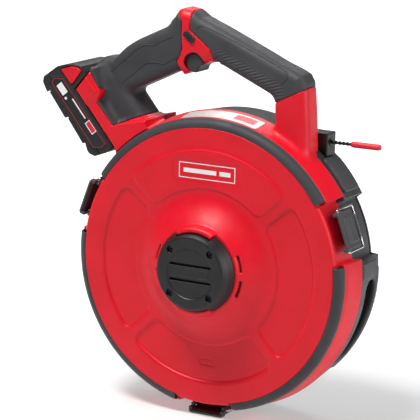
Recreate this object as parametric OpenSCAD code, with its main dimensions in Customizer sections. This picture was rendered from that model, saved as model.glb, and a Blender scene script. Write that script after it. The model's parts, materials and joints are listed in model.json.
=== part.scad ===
// Powered fish tape reel. A battery-driven red base with a D-shaped handle
// carries a dark tape cartridge, which three over-centre wire latches hold.
// Origin: drum axis on the flat rear face. +Y out of the rear, +Z up.

/* [Drum] */
// Radius of the flat front face
face_r = 160; // [159:0.5:160]
// Outer radius of the red rim where it meets the cartridge
rim_r = 175; // [174.5:0.5:176]
// Distance from the rear face to the front face
face_h = 104; // [103.5:0.5:105]
// Distance from the rear face to the joint between base and cartridge
split_h = 58; // [58:0.1:58.2]
// Wall thickness of the red front housing
shell_t = 3; // [2.5:0.5:3]
// Depth of the pads let into the front face
pad_depth = 1.4; // [0.8:0.2:1.6]

/* [Hub] */
// Distance from the rear face to the front of the hub cap
cap_h = 141; // [140:0.5:143]
// Radius of the front of the hub cap
cap_r = 42; // [41:0.5:43]
// Half the spacing of the four hub cap screws
cap_screw = 25.2; // [24.5:0.1:25.5]

/* [Tape] */
// Outer radius of the wound tape coil
coil_r = 136; // [130:1:138]
// Radius of the reel's drum that the tape winds on
coil_in = 124; // [121:1:126]
// Length of the leader that stands out of the guide, with its tip
leader_out = 61; // [50:1:66]

/* [Handle] */
// Depth of the handle from front to rear
grip_d = 38; // [36:1:39]
// Thickness of the soft grip cover
cover_t = 2; // [1.5:0.5:2.5]
// Travel of the trigger
trigger_travel = 6; // [4:0.5:6.5]

/* [Latches] */
// Half the width of a latch lever
lever_w = 21; // [20:0.5:21]
// Radius of the latch wire
wire_r = 1.5; // [1.2:0.1:1.5]

/* [Hidden] */
$fn = 64;
RED = [0.82, 0.07, 0.11];
GREY = [0.22, 0.22, 0.23];
BLACK = [0.08, 0.08, 0.085];
STEEL = [0.72, 0.73, 0.75];
PLATE = [0.55, 0.55, 0.55];
BRASS = [0.78, 0.62, 0.30];
GREEN = [0.08, 0.30, 0.16];
COPPER = [0.72, 0.40, 0.22];
BLUE = [0.15, 0.30, 0.55];
// Angles of the three latches around the drum
LATCHES = [20, 160, 270];
// Start and end angles of the recesses in the cartridge behind the latches
RECESSES = [[6.2, 30.5], [149.5, 170.5], [259.5, 280.5]];
// Start and end angles of the three rubber bumpers
BUMPERS = [[33, 147.5], [173, 257], [283, 367]];
// Middle of the handle, from the rear face
mid_h = 58;
// Angle of the battery's slide direction in the XZ plane
foot_angle = -50.5;
// Planetary gears: module, teeth of sun and planet, teeth of ring
gear_m = 2;
sun_z = 12;
ring_z = 36;
orbit_r = gear_m * (sun_z + sun_z) / 2;
// Pivot of a latch lever, and where its wire is held: radius and height
lever_pivot = [169.5, 64];
wire_pivot = [171.5, 85];
hook_h = 46.5;
// Line of the leader above the drum axis, and its distance from the rear face
leader_z = 146;
leader_h = 29;

// Turns a shape drawn in the XZ plane, with its height h towards the front
module turned() rotate([90, 0, 0]) children();

// Ring about the drum axis between two heights
module ring(r_out, r_in, h0, h1) {
  difference() {
    translate([0, 0, h0]) cylinder(r = r_out, h = h1 - h0, $fn = 180);
    translate([0, 0, h0 - 1]) cylinder(r = r_in, h = h1 - h0 + 2, $fn = 180);
  }
}

// Disc about the drum axis between two heights
module disc(r, h0, h1) translate([0, 0, h0]) cylinder(r = r, h = h1 - h0, $fn = 180);

// Part of a turned shape between two angles, points are [radius, height]
module arc_of(from, to, pts) {
  rotate([0, 0, from]) rotate_extrude(angle = to - from, $fn = 180) polygon(pts);
}

// Places a shape at a latch: x radial, y around the drum, z the height
module at_latch(phi) rotate([0, 0, phi]) children();

// Radius of the rim, and of the cartridge, at a height
function rim_at(h) = rim_r - (h - split_h) * (rim_r - 170.2) / (93.4 - 58);
function cart_at(h) = 170.5 + (h - 4) * 4 / 53.5;

// Pie slice in the plane, for cutting rings into sectors
module slice(from, to, r) {
  polygon([[0, 0], for (i = [0:8]) r * [cos(from + (to - from) * i / 8),
    sin(from + (to - from) * i / 8)]]);
}

// Rounded rectangle centred on the origin
module rrect(w, h, r) {
  square([w - 2 * r, h], center = true);
  square([w, h - 2 * r], center = true);
  for (i = [-1, 1], j = [-1, 1])
    translate([i * (w / 2 - r), j * (h / 2 - r)]) circle(r = r);
}

// Screw along the height: shaft from h0 to h1 and a head past h1
module screw(p, r, h0, h1, head_r, head_t) {
  translate([p[0], p[1], h0]) cylinder(r = r, h = h1 - h0);
  translate([p[0], p[1], h1]) cylinder(r = head_r, h = head_t);
}

// ---- Red base ----

// Sector let into the face, or raised on it
module pad(from, to, r0, r1, h0, h1) {
  translate([0, 0, h0]) linear_extrude(h1 - h0) difference() {
    intersection() {
      circle(r = r1, $fn = 180);
      slice(from, to, 200);
    }
    circle(r = r0, $fn = 180);
  }
}

module front_face() color(RED) turned() difference() {
  union() {
    rotate_extrude($fn = 180) polygon([[82.02, face_h], [face_r, face_h], [face_r, 98],
      [163.4, 94.09], [163.4, 90.4], [162.4, 90.4], [157, 96.5], [157, face_h - shell_t],
      [82.02, face_h - shell_t]]);
    // Raised top pad
    pad(47, 133, 91, 135, face_h, face_h + 1.2);
    // Inner walls of the latch pockets
    for (phi = LATCHES) at_latch(phi) {
      arc_of(-13.2, 13.2, [[159.4, split_h + 0.4], [163.2, split_h + 0.4], [163.2, 91.5],
        [159.4, 96.4]]);
      arc_of(-12.4, 12.4, [[158.5, 96], [161.5, 92.5], [163, 92.5], [163, 100.4],
        [160.4, 103.6], [158.5, 103.6]]);
    }
    // Screw posts
    for (a = [50:60:350])
      rotate([0, 0, a]) translate([140, 0, 61.05]) cylinder(r = 5, h = 41);
  }
  // Pads let into the face
  pad(145, 214, 91, 135, face_h - pad_depth, face_h + 1);
  pad(-37, 35, 91, 135, face_h - pad_depth, face_h + 1);
  pad(234, 303, 91, 135, face_h - pad_depth, face_h + 1);
  // Plain panel in the raised pad
  translate([-44, 98, face_h + 0.6]) cube([88, 24, 2]);
  for (a = [50:60:350])
    rotate([0, 0, a]) translate([140, 0, 60]) cylinder(r = 1.8, h = 16);
}

// Cone in the middle of the face, with the seat of the front motor bearing
module hub_shell() color(RED) turned() difference() {
  union() {
    rotate_extrude($fn = 180) polygon([[5, 124], [52, 124], [54, 122], [76, 105.5],
      [80, face_h], [82, face_h], [82, face_h - shell_t], [79, face_h - shell_t],
      [74, 102.3], [50.5, 121], [5, 121]]);
    // Lips over the hub cap
    for (a = [62, 242])
      arc_of(a, a + 56, [[44.6, 121.5], [52, 121.5], [51, 131], [47, 133], [44.6, 133]]);
    // Bearing seat and posts of the cap screws
    ring(15, 11, 112.6, 121.5);
    for (i = [-1, 1], j = [-1, 1])
      translate([i * cap_screw, j * cap_screw, 113]) cylinder(r = 4.5, h = 9);
  }
  // Vent slots
  for (a = [-27, 4, 153, 184])
    arc_of(a, a + 22, [[46, 121.8], [60, 115.6], [60, 118.2], [46, 124.4]]);
  for (i = [-1, 1], j = [-1, 1])
    translate([i * cap_screw, j * cap_screw, 112]) cylinder(r = 1.9, h = 14);
}

// Rim between the latch pockets, closed at its ends
module rim_wall() color(RED) turned() for (i = [0:2]) {
  from = LATCHES[i] + 12;
  to = (i < 2 ? LATCHES[i + 1] : LATCHES[0] + 360) - 12;
  difference() {
    arc_of(from, to, [[163.42, split_h], [rim_r, split_h], [170.2, 93.4], [164, 93.4],
      [163.42, 94.06]]);
    arc_of(from + 1.2, to - 1.2, [[160, 50], [173.14, 50], [167.4, 90.4], [160, 90.4]]);
  }
}

// Ears that carry the latch levers
module latch_ears() color(RED) turned() for (phi = LATCHES) at_latch(phi)
  for (s = [-1, 1]) difference() {
    union() {
      translate([lever_pivot[0], s * 15 + 2, lever_pivot[1]]) rotate([90, 0, 0])
        cylinder(r = 3.5, h = 4);
      translate([162.7, s * 15 - 2, lever_pivot[1] - 3.48])
        cube([lever_pivot[0] - 162.7, 4, 6.96]);
    }
    translate([lever_pivot[0], s * 15 + 3, lever_pivot[1]]) rotate([90, 0, 0])
      cylinder(r = 2, h = 6);
  }

module back_plate() color(GREY) turned() difference() {
  union() {
    disc(171, split_h + 0.05, 61);
    disc(40, 55, 61);
  }
  disc(21, 50, 70);
  for (phi = LATCHES) at_latch(phi)
    arc_of(-14, 14, [[159.1, 50], [180, 50], [180, 70], [159.1, 70]]);
  for (a = [50:60:350]) rotate([0, 0, a]) translate([140, 0, 50]) {
    cylinder(r = 1.8, h = 20);
    cylinder(r = 3.6, h = 9.4);
  }
}

module bumper(i) color(GREY) turned() arc_of(BUMPERS[i][0], BUMPERS[i][1],
  [[face_r + 0.02, 98.02], [face_r + 0.02, face_h], [162.5, 103.8], [166, 102.4],
   [168.6, 100], [170.1, 97], [170.5, 93.42], [164.03, 93.42]]);
module bumper_top() bumper(0);
module bumper_left() bumper(1);
module bumper_right() bumper(2);

module label_plate() color(PLATE) turned() arc_of(72, 105,
  [[rim_at(90) + 0.02, 90], [rim_at(90) + 0.8, 90], [rim_at(66) + 0.8, 66],
   [rim_at(66) + 0.02, 66]]);

module hub_cap() color(GREY) turned() difference() {
  union() {
    rotate_extrude($fn = 180) polygon([[36, 124.05], [49, 124.05], [49.5, 126],
      [46, 134], [cap_r + 1.5, cap_h - 3], [cap_r, cap_h - 0.6], [cap_r - 1.5, cap_h],
      [30, cap_h], [29, cap_h - 1.6], [0, cap_h - 1.6], [0, 136], [36, 136]]);
    for (i = [-1, 1], j = [-1, 1])
      translate([i * cap_screw, j * cap_screw, 124.05]) cylinder(r = 4.6, h = 13);
  }
  // Notches under the housing's lips
  for (a = [61, 241])
    arc_of(a, a + 58, [[44.2, 120], [60, 120], [60, 133.4], [44.2, 133.4]]);
  // Two level grooves
  for (z = [-9, 9]) translate([-26, z - 1, cap_h - 2.8]) cube([52, 2, 3]);
  // Screw holes
  for (i = [-1, 1], j = [-1, 1]) translate([i * cap_screw, j * cap_screw, 120]) {
    cylinder(r = 2, h = 25);
    translate([0, 0, 15]) cylinder(r = 4, h = 10);
  }
}

// Screws of the hub cap, the back plate, the handle and the cartridge's rear cover
module screws() color(STEEL) turned() {
  for (i = [-1, 1], j = [-1, 1]) difference() {
    screw([i * cap_screw, j * cap_screw], 1.85, 113, 135, 3.8, 2.6);
    translate([i * cap_screw, j * cap_screw, 136]) cylinder(r = 1.9, h = 3, $fn = 6);
  }
  for (a = [50:60:350]) rotate([0, 0, a]) translate([140, 0, 0]) {
    translate([0, 0, 59.3]) cylinder(r = 1.75, h = 15.15);
    translate([0, 0, 58.05]) cylinder(r = 3.4, h = 1.35);
  }
  for (p = HANDLE_POSTS) translate([p[0], p[1], 0]) {
    translate([0, 0, 43.9]) cylinder(r = 1.85, h = 26.1);
    translate([0, 0, 41.6]) cylinder(r = 3.4, h = 2.4);
  }
  for (a = COVER_SCREWS) rotate([0, 0, a]) translate([161.5, 0, 0]) {
    translate([0, 0, 2.1]) cylinder(r = 1.75, h = 14.1);
    translate([0, 0, 0.4]) cylinder(r = 3.2, h = 1.8);
  }
}

// ---- Motor and gears ----

module gear_case() color(GREY) turned() difference() {
  ring(46, 42, 61.05, 112);
  for (a = [0:60:300]) rotate([0, 0, a]) translate([40, -4, 92]) cube([10, 8, 14]);
}

module stator() color(COPPER) turned() difference() {
  union() {
    ring(42, 38, 89, 111);
    for (a = [0:60:300]) rotate([0, 0, a]) {
      translate([27, -3.5, 89]) cube([12, 7, 22]);
      translate([29.5, -8, 90]) cube([7, 16, 20]);
    }
  }
  disc(26.5, 80, 120);
}

module motor_plate() color(PLATE) turned() difference() {
  union() {
    disc(42, 80.6, 83.6);
    disc(15, 80.6, 87.6);
  }
  disc(11, 70, 90);
}

// Two bearings of the motor shaft and the output bearing
module bearings() color(STEEL) turned() {
  ring(11, 4.05, 113, 119.8);
  ring(11, 4.05, 80.8, 87.4);
  ring(21, 12.55, 55.2, 61.2);
}

// Gear outline: teeth are straight-sided with clearance, flank fractions of a pitch
function gear_points(z, r_tip, r_root, tip, root) = [for (i = [0:z - 1], k = [0:3])
  let (a = 360 / z * (i + [-root, -tip, tip, root][k]), r = (k == 1 || k == 2) ? r_tip : r_root)
  r * [cos(a), sin(a)]];

module gear(h0, h1) translate([0, 0, h0]) linear_extrude(h1 - h0)
  polygon(gear_points(sun_z, 12 + 1.5, 12 - 2.2, 0.09, 0.27));

module rotor() color(STEEL) turned() {
  difference() {
    disc(25.4, 90, 110.5);
    disc(4, 80, 120);
  }
  disc(4, 79.2, 134);
  gear(69.4, 79.4);
}

module fan() color(BLACK) turned() difference() {
  union() {
    disc(30, 126, 127.6);
    disc(7, 126, 133);
    for (a = [0:30:330]) rotate([0, 0, a]) translate([8, -0.6, 127.4]) cube([21, 1.2, 5.4]);
  }
  disc(4, 120, 140);
}

module ring_gear() color(STEEL) turned() translate([0, 0, 68.6]) linear_extrude(11.6)
  difference() {
    circle(r = 42, $fn = 180);
    polygon(gear_points(ring_z, 36 - 1.5, 36 + 2.2, 0.09, 0.27));
  }

module carrier() color(STEEL) turned() {
  disc(33, 62.6, 67.6);
  for (a = [0:120:240]) rotate([0, 0, a]) translate([orbit_r, 0, 67]) cylinder(r = 3, h = 12.4);
  disc(12.5, 54, 63);
  translate([0, 0, 38]) cylinder(r = 12, h = 16.5, $fn = 6);
}

module planet(i) color(STEEL) turned() rotate([0, 0, i * 120]) translate([orbit_r, 0, 0])
  difference() {
    rotate([0, 0, 180 / sun_z]) gear(69.4, 79);
    translate([0, 0, 60]) cylinder(r = 3.05, h = 30);
  }
module planet_1() planet(0);
module planet_2() planet(1);
module planet_3() planet(2);

// ---- Handle ----

// Straight bar in the XZ plane with a rounded section
module bar(a, b, w, d, r, inset) {
  l = norm(b - a);
  translate([a[0], a[1], mid_h]) rotate([0, 0, atan2(b[1] - a[1], b[0] - a[0])])
    rotate([90, 0, 90]) linear_extrude(l) rrect(w - 2 * inset, d - 2 * inset, r - inset);
}

// Outline that the bars are trimmed to, drawn in the XZ plane
module handle_outline(inset) offset(delta = -inset) polygon([[-126, 100], [-126, 119.6],
  [-177.5, 182], [-176.4, 191.9], [-162.4, 205.7], [-164.4, 210.5], [-165, 217.6], [-158.2, 223.4],
  [-150.5, 224.3], [-144, 223], [-129, 237], [-111, 251], [-90, 261.5], [-73, 269.5], [-65, 277],
  [-60, 285], [-53, 288], [-40, 286], [-29, 278.5], [-3, 270], [49, 249], [99, 224.5],
  [104, 216], [113, 155], [113, 100]]);

// The handle's bars, each surface set in by inset
module handle_bars(inset) difference() {
  intersection() {
    handle_bar_set(inset);
    translate([0, 0, 20]) linear_extrude(76) handle_outline(inset);
  }
  // The trigger head's lower end, cut along the finger gap
  translate([0, 0, 10]) linear_extrude(100) offset(delta = inset)
    polygon([[-45, 196], [-45, 213.2], [-19, 229], [-7.5, 229], [-7.5, 196]]);
}

module handle_bar_set(inset) {
  // Right arm, grip bar, trigger head, pistol grip and its leg
  bar([90, 112], [85, 230], 43, grip_d, 11, inset);
  bar([-45, 266.5], [103, 201.2], 38, grip_d, 12, inset);
  bar([-30, 219 + inset], [-54, 292], 46, grip_d - 0.4, 11.4, inset);
  bar([-144.6, 203.6], [-46 - inset, 250], 52, grip_d - 0.2, 12.6, inset);
  bar([-96.8, 127.6], [-169.3, 215.5], 41, 46, 12, inset);
}

// Areas of the handle that the soft covers wrap, drawn in the XZ plane
module grip_area() polygon([[-70, 292], [-52, 272], [-51, 241], [-57.5, 226.6], [-53, 213],
  [-50, 190], [-58, 161], [-109, 156.5], [-131, 147.6], [-153, 172.5], [-147.5, 185],
  [-167, 213.6], [-180, 230], [-110, 290]]);
module bar_area() polygon([[-40, 295], [-42, 264.5], [-15, 244], [-11, 229], [-6, 205], [40, 180],
  [60, 190], [98, 205.5], [103, 209], [104, 218], [120, 224], [110, 260]]);

// Foot that the battery slides onto, in the battery's own axes
module foot_body() rotate([0, 0, foot_angle]) translate([0, 0, 20.5])
  {
    linear_extrude(75) polygon([[-259, -21.3], [-263.2, 1], [-264, 6.5], [-267.6, 11], [-266, 15],
      [-212, 20], [-182, 28], [-160, 20], [-150, -14], [-172, -21.3]]);
    // Raised bumps beside the battery's release buttons
    translate([0, 0, -1.5]) linear_extrude(78)
      polygon([[-257.8, -20.9], [-261.6, -0.6], [-240, 0], [-234, -20.9]]);
  }

// Everything taken out of the handle halves
module handle_hollows() {
  difference() {
    union() {
      handle_bars(4.6);
      // Room for the board
      rotate([0, 0, foot_angle]) translate([-258, -7, 24]) cube([70, 17, 68]);
    }
    // Screw posts stay
    for (p = HANDLE_POSTS) translate([p[0], p[1], 0]) cylinder(r = 5, h = 120);
    // Floor over the rim
    disc(180, 0, 120);
  }
  // Slide channel for the battery's tower
  rotate([0, 0, foot_angle]) translate([-270, -22, 33]) cube([94.8, 12.5, 50]);
  // Trigger slot and selector slot
  trigger_shape(0.4, 60, trigger_travel + 0.6);
  selector_shape(0.4, 60);
  for (p = HANDLE_POSTS) translate([p[0], p[1], 0]) {
    cylinder(r = 1.9, h = 72);
    cylinder(r = 3.7, h = 44);
  }
  // Seat on the rim
  rotate_extrude($fn = 180) polygon([[0, 0], [175.4, 0], [175.4, split_h],
    [rim_r + 0.05, split_h], [170.25, 93.3], [170.7, 93.35], [170.7, 120], [0, 120]]);
}
// Middle of the trigger's round key
TRIGGER = [-36.5, 227.2];
// Screw posts of the handle
HANDLE_POSTS = [[92, 186], [22, 240], [-78, 232], [-121, 172]];

module trigger_shape(gap, width, travel) {
  translate([0, 0, mid_h - width / 2]) linear_extrude(width) {
    translate(TRIGGER) rotate([0, 0, 30.7]) {
      circle(r = 11.5 + gap);
      translate([-11.58, 0]) square([23.16, travel + 11.58]);
    }
  }
}

module selector_shape(gap, width) {
  translate([-41.7, 256.5, mid_h - width / 2]) linear_extrude(width)
    rotate([0, 0, -38]) rrect(16 + 2 * gap, 8 + 2 * gap, 3);
}

module handle_half(front) color(RED) turned() difference() {
  intersection() {
    union() {
      handle_bars(cover_t);
      difference() {
        handle_bars(0);
        translate([0, 0, 10]) linear_extrude(100) grip_area();
        translate([0, 0, 10]) linear_extrude(100) bar_area();
      }
      foot_body();
    }
    translate([-250, 90, front ? mid_h + 0.02 : mid_h - 52]) cube([400, 220, 51.98]);
  }
  handle_hollows();
}
module handle_front() handle_half(true);
module handle_rear() handle_half(false);

// Soft cover over one area of the bars
module cover() difference() {
  intersection() {
    handle_bars(0);
    translate([0, 0, 10]) linear_extrude(100) children();
  }
  handle_bars(cover_t);
  foot_body();
  trigger_shape(0.4, 60, trigger_travel + 0.6);
  disc(rim_r + 0.4, 0, 120);
}
module grip_cover() color(GREY) turned() cover() grip_area();
module bar_cover() color(GREY) turned() cover() bar_area();

module trigger() color(GREY) turned() difference() {
  translate([TRIGGER[0], TRIGGER[1], mid_h - 15]) cylinder(r = 11.5, h = 30);
  translate([TRIGGER[0] + 11, TRIGGER[1] - 9.5, 0]) cylinder(r = 7, h = 120);
}

module switch_body() color(BLACK) turned() difference() {
  translate([-34.5, 229, mid_h - 12]) rotate([0, 0, 30.7]) translate([-13, 18.4, 0])
    cube([26, 22, 24]);
  selector_shape(1.2, 60);
}

module selector() color(GREY) turned() selector_shape(0, 42);

module control_board() color(GREEN) turned() rotate([0, 0, foot_angle]) {
  translate([-254, -6.2, 27]) cube([60, 1.6, 62]);
  for (s = [-248, -232, -214]) translate([s, -4.7, 38]) cube([9, 6, 9]);
  translate([-240, -4.7, 60]) cube([30, 9, 20]);
}

module terminal_block() color(BLACK) turned() rotate([0, 0, foot_angle]) {
  translate([-180.6, -20, 38]) cube([5.2, 10, 40]);
  for (h = [48, 58, 68]) translate([-194, -18, h - 0.5]) cube([14, 6, 1]);
}

// ---- Latches ----

module lever(phi) color(GREY) turned() at_latch(phi) difference() {
  union() {
    translate([174, -lever_w, 61]) cube([3.4, 2 * lever_w, 32]);
    translate([175.2, -lever_w, 92]) cube([3.2, 2 * lever_w, 4.4]);
    translate([177, -14, 65]) cube([1.2, 28, 22]);
    for (s = [-1, 1]) translate([167, s * (lever_w - 1.5) - 1.5, 61.4]) cube([7.5, 3, 29]);
    translate([lever_pivot[0], 12.4, lever_pivot[1]]) rotate([90, 0, 0])
      cylinder(r = 3.6, h = 24.8);
    translate([lever_pivot[0], -12.4, 61.4]) cube([5, 24.8, 5]);
  }
  translate([lever_pivot[0], 30, lever_pivot[1]]) rotate([90, 0, 0])
    cylinder(r = 2.06, h = 60);
  translate([wire_pivot[0], 30, wire_pivot[1]]) rotate([90, 0, 0])
    cylinder(r = wire_r + 0.08, h = 60);
}
module lever_right() lever(LATCHES[0]);
module lever_left() lever(LATCHES[1]);
module lever_bottom() lever(LATCHES[2]);

module bail(phi) color(STEEL) turned() at_latch(phi) {
  for (s = [-1, 1]) {
    translate([wire_pivot[0], s * 24.5, hook_h]) cylinder(r = wire_r, h = wire_pivot[1] - hook_h);
    translate([wire_pivot[0], s * 24.5, hook_h]) sphere(r = wire_r);
    translate([wire_pivot[0], s * 24.5, wire_pivot[1]]) sphere(r = wire_r);
    translate([wire_pivot[0], s * 21 + 3.5, wire_pivot[1]]) rotate([90, 0, 0])
      cylinder(r = wire_r, h = 7);
  }
  translate([wire_pivot[0], 24.5, hook_h]) rotate([90, 0, 0]) cylinder(r = wire_r, h = 49);
}
module bail_right() bail(LATCHES[0]);
module bail_left() bail(LATCHES[1]);
module bail_bottom() bail(LATCHES[2]);

module latch_pins() color(STEEL) turned() for (phi = LATCHES) at_latch(phi)
  translate([lever_pivot[0], 17, lever_pivot[1]]) rotate([90, 0, 0]) cylinder(r = 2, h = 34);

// ---- Tape cartridge ----

// Front plate of the cartridge, with the backs of the latch recesses
module cartridge_shell() color(GREY) turned() {
  difference() {
    ring(166.4, 42, 54.5, 57.5);
    for (a = RECESSES) arc_of(a[0], a[1], [[160, 50], [182, 50], [182, 60], [160, 60]]);
  }
  for (a = RECESSES)
    arc_of(a[0] - 1, a[1] + 1, [[156, 4.6], [159.8, 4.6], [159.8, 57], [156, 57]]);
}

// Outer wall of the cartridge between two latch recesses
module side_span(from, to) difference() {
  arc_of(from, to, [[160.05, 4.05], [cart_at(4), 4.05], [cart_at(57.5), 57.5],
    [166.42, 57.5], [166.42, 54.48], [160.05, 54.48]]);
  arc_of(from + 1, to - 1, [[150, 0], [166.5, 0], [166.5, 10], [170, 54.5], [150, 54.5]]);
}

module cartridge_sides() color(GREY) turned() difference() {
  union() {
    for (i = [0:2]) side_span(RECESSES[i][1], i < 2 ? RECESSES[i + 1][0] : RECESSES[0][0] + 360);
    // Raised bracket beside the right latch
    arc_of(-0.6, 6, [[169, 20], [175.6, 20], [176.4, 56], [172, 56]]);
    // Raised edge behind the window
    arc_of(-46, 1.6, [[168, 4.4], [171.6, 4.4], [172.3, 11], [168, 11]]);
    for (a = COVER_SCREWS) rotate([0, 0, a]) translate([161.5, 0, 4.3]) cylinder(r = 6, h = 16);
  }
  // Window onto the tape
  arc_of(-40, -2.5, [[150, 11.5], [190, 11.5], [190, 40.5], [150, 40.5]]);
  // Way out for the tape
  translate([60, leader_z - 5, leader_h - 5]) cube([50, 10, 10]);
  for (a = COVER_SCREWS) rotate([0, 0, a]) translate([161.5, 0, 0]) cylinder(r = 1.8, h = 18);
}
// Angles of the screws that hold the rear cover
COVER_SCREWS = [0, 42, 82, 105, 138, 184, 215, 245, 292, 314];

// Keepers that the latch wires hook behind
module cartridge_keepers() color(GREY) turned() for (phi = LATCHES) at_latch(phi) {
  translate([159.82, -14, hook_h + wire_r + 0.05]) cube([14.58, 28, 3.6]);
  translate([159.92, -12, hook_h + wire_r + 3]) cube([6.08, 24, 3.44]);
}

module cartridge_cover() color(GREY) turned() difference() {
  rotate_extrude($fn = 180) polygon([[0, 0], [167, 0], [170, 3], [170, 4], [0, 4]]);
  for (a = RECESSES) arc_of(a[0], a[1], [[160, -2], [182, -2], [182, 6], [160, 6]]);
  for (a = COVER_SCREWS) rotate([0, 0, a]) translate([161.5, 0, -1]) {
    cylinder(r = 1.8, h = 8);
    cylinder(r = 3.4, h = 3.2);
  }
  // Shallow ring groove and stiffening pockets in the back
  difference() {
    disc(148, -1, 1.2);
    disc(60, -2, 3);
    for (a = [0:45:315]) rotate([0, 0, a]) translate([40, -7, -2]) cube([120, 14, 6]);
  }
}

module exit_plate() color(GREY) turned() arc_of(33, 47.5, [[cart_at(14) + 0.02, 14],
  [178, 14], [178, 52], [177, 56], [cart_at(56) + 0.02, 56]]);

module tape_guide() color(BLACK) turned() difference() {
  union() {
    translate([93, 128, 16]) cube([24, 29, 22.6]);
    translate([88, 146, 16]) cube([12, 11, 22.6]);
  }
  rotate_extrude($fn = 180) polygon([[0, 0], [cart_at(0) + 0.02, 0],
    [cart_at(57.5) + 0.02, 57.5], [0, 57.5]]);
  arc_of(30, 47.6, [[150, 0], [179, 0], [179, 60], [150, 60]]);
  translate([80, leader_z, leader_h]) rotate([0, 90, 0]) cylinder(r = 4.5, h = 60);
  translate([80, leader_z - 4.5, leader_h - 4.5]) cube([21, 9, 9]);
}

module guide_bush() color(STEEL) turned() translate([102, leader_z, leader_h])
  rotate([0, 90, 0]) difference() {
    cylinder(r = 4.5, h = 15.6);
    translate([0, 0, -1]) cylinder(r = 2.35, h = 20);
  }

module spindle() color(STEEL) turned() {
  difference() {
    disc(26, 4.02, 6.6);
    for (a = [0:90:270]) rotate([0, 0, a]) translate([20, 0, 0]) cylinder(r = 2, h = 10);
  }
  disc(12, 6, 31);
  disc(9, 30, 32.4);
  disc(10.5, 32.4, 34);
}

module spindle_clip() color(STEEL) turned() ring(14.5, 9.02, 31.05, 32.35);

module reel_core() color(BLACK) turned() difference() {
  union() {
    ring(coil_in, coil_in - 4, 8, 52);
    disc(coil_in - 3, 28, 31);
    disc(24, 8, 53);
    for (a = [0:45:315]) rotate([0, 0, a]) translate([22, -1.5, 14]) cube([coil_in - 25, 3, 30]);
  }
  disc(15.5, 0, 36);
  translate([0, 0, 35]) cylinder(r = 12.5, h = 30, $fn = 6);
  for (a = [22.5:45:360]) rotate([0, 0, a]) translate([76, 0, 20]) cylinder(r = 22, h = 20);
}

module reel_bush() color(BRASS) turned() ring(15.5, 12.06, 8, 30.4);

module reel_flanges() color(BLACK) turned() {
  ring(150, coil_in, 49.6, 51.6);
  ring(150, coil_in, 8.4, 10.4);
}

module tape_coil() color(STEEL) turned() rotate_extrude($fn = 180) polygon([[coil_in, 10.6],
  for (i = [0:9]) each [[coil_r - 0.4, 10.6 + i * 3.88], [coil_r, 12 + i * 3.88],
    [coil_r, 13.2 + i * 3.88]], [coil_r - 0.4, 49.4], [coil_in, 49.4]]);

module leader_cable() color(BLACK) turned() translate([44, leader_z, leader_h])
  rotate([0, 90, 0]) cylinder(r = 2.25, h = 106);

module leader_tip() color(RED) turned() translate([117.6 + leader_out - 36.4, leader_z, leader_h])
  rotate([0, 90, 0]) difference() {
    union() {
      cylinder(r1 = 3, r2 = 3.6, h = 1.5);
      translate([0, 0, 1.5]) cylinder(r = 3.6, h = 33.4);
      translate([0, 0, 34.9]) cylinder(r1 = 3.6, r2 = 2.4, h = 1.5);
    }
    translate([0, 0, -1]) cylinder(r = 2.25, h = 151 - (117.6 + leader_out - 36.4));
  }

module tape_end() color(STEEL) turned() {
  difference() {
    translate([30, leader_z, leader_h]) rotate([0, 90, 0]) cylinder(r = 3.1, h = 20);
    translate([44, leader_z, leader_h]) rotate([0, 90, 0]) cylinder(r = 2.25, h = 20);
  }
  translate([-6, leader_z - 0.8, leader_h - 1.6]) cube([38, 1.6, 3.2]);
}

// ---- Battery, drawn in its own axes: x along the slide, y away from the cells ----

module pack_base() color(GREY) turned() rotate([0, 0, foot_angle]) difference() {
  translate([0, 0, 20]) linear_extrude(76) polygon([[-295, -41.6], [-295.4, -49], [-291, -54.2],
    [-278, -57], [-275.5, -54], [-240, -55.6], [-237.6, -52.6], [-203, -54.4], [-200.5, -51.8],
    [-194, -54.2], [-189, -54.2], [-182.5, -50], [-179.5, -41.6]]);
  translate([-291.8, -51.2, 23]) cube([104.2, 40, 70]);
}

module pack_top() color(BLACK) turned() rotate([0, 0, foot_angle]) difference() {
  union() {
    translate([0, 0, 20]) linear_extrude(76) polygon([[-295, -41.55], [-294, -26], [-288, -12],
      [-281, -3.5], [-275.5, 2], [-265.5, 2.6], [-263.6, 1], [-259.4, -21.5], [-177, -21.5],
      [-176, -28], [-179.5, -41.55]]);
    // Tower that slides into the foot
    translate([-260, -22, 34]) cube([77.5, 11.5, 48]);
  }
  translate([-291.8, -60, 23]) cube([109.6, 35.4, 70]);
  translate([-277, -30, 38]) cube([12, 24, 40]);
  // Pockets for the release buttons and slots for the contacts
  for (h = [20, 96]) translate([0, 0, h - 6]) linear_extrude(12) button_outline(0.4);
  for (h = [48, 58, 68]) translate([-198, -20, h - 1.2]) cube([20, 9, 2.4]);
}

module button_outline(gap) offset(delta = gap) polygon([[-288.6, -23.4], [-282.6, -9], [-276.2, -2.2],
  [-270.4, -0.4], [-265.2, -20.4], [-267, -22.8]]);

module button_front() color(RED) turned() rotate([0, 0, foot_angle])
  translate([0, 0, 93.4]) linear_extrude(3.4) button_outline(0);
module button_rear() color(RED) turned() rotate([0, 0, foot_angle])
  translate([0, 0, 19.2]) linear_extrude(3.4) button_outline(0);

module pack_cells() color(BLUE) turned() rotate([0, 0, foot_angle])
  for (i = [-2:2]) translate([-237.2 + i * 19.8, -41.6, 25.5]) cylinder(r = 9.1, h = 65);

module pack_board() color(GREEN) turned() rotate([0, 0, foot_angle]) {
  translate([-268, -30.8, 32]) cube([80, 1.6, 52]);
  translate([-250, -29.3, 44]) cube([20, 3, 16]);
}

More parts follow.
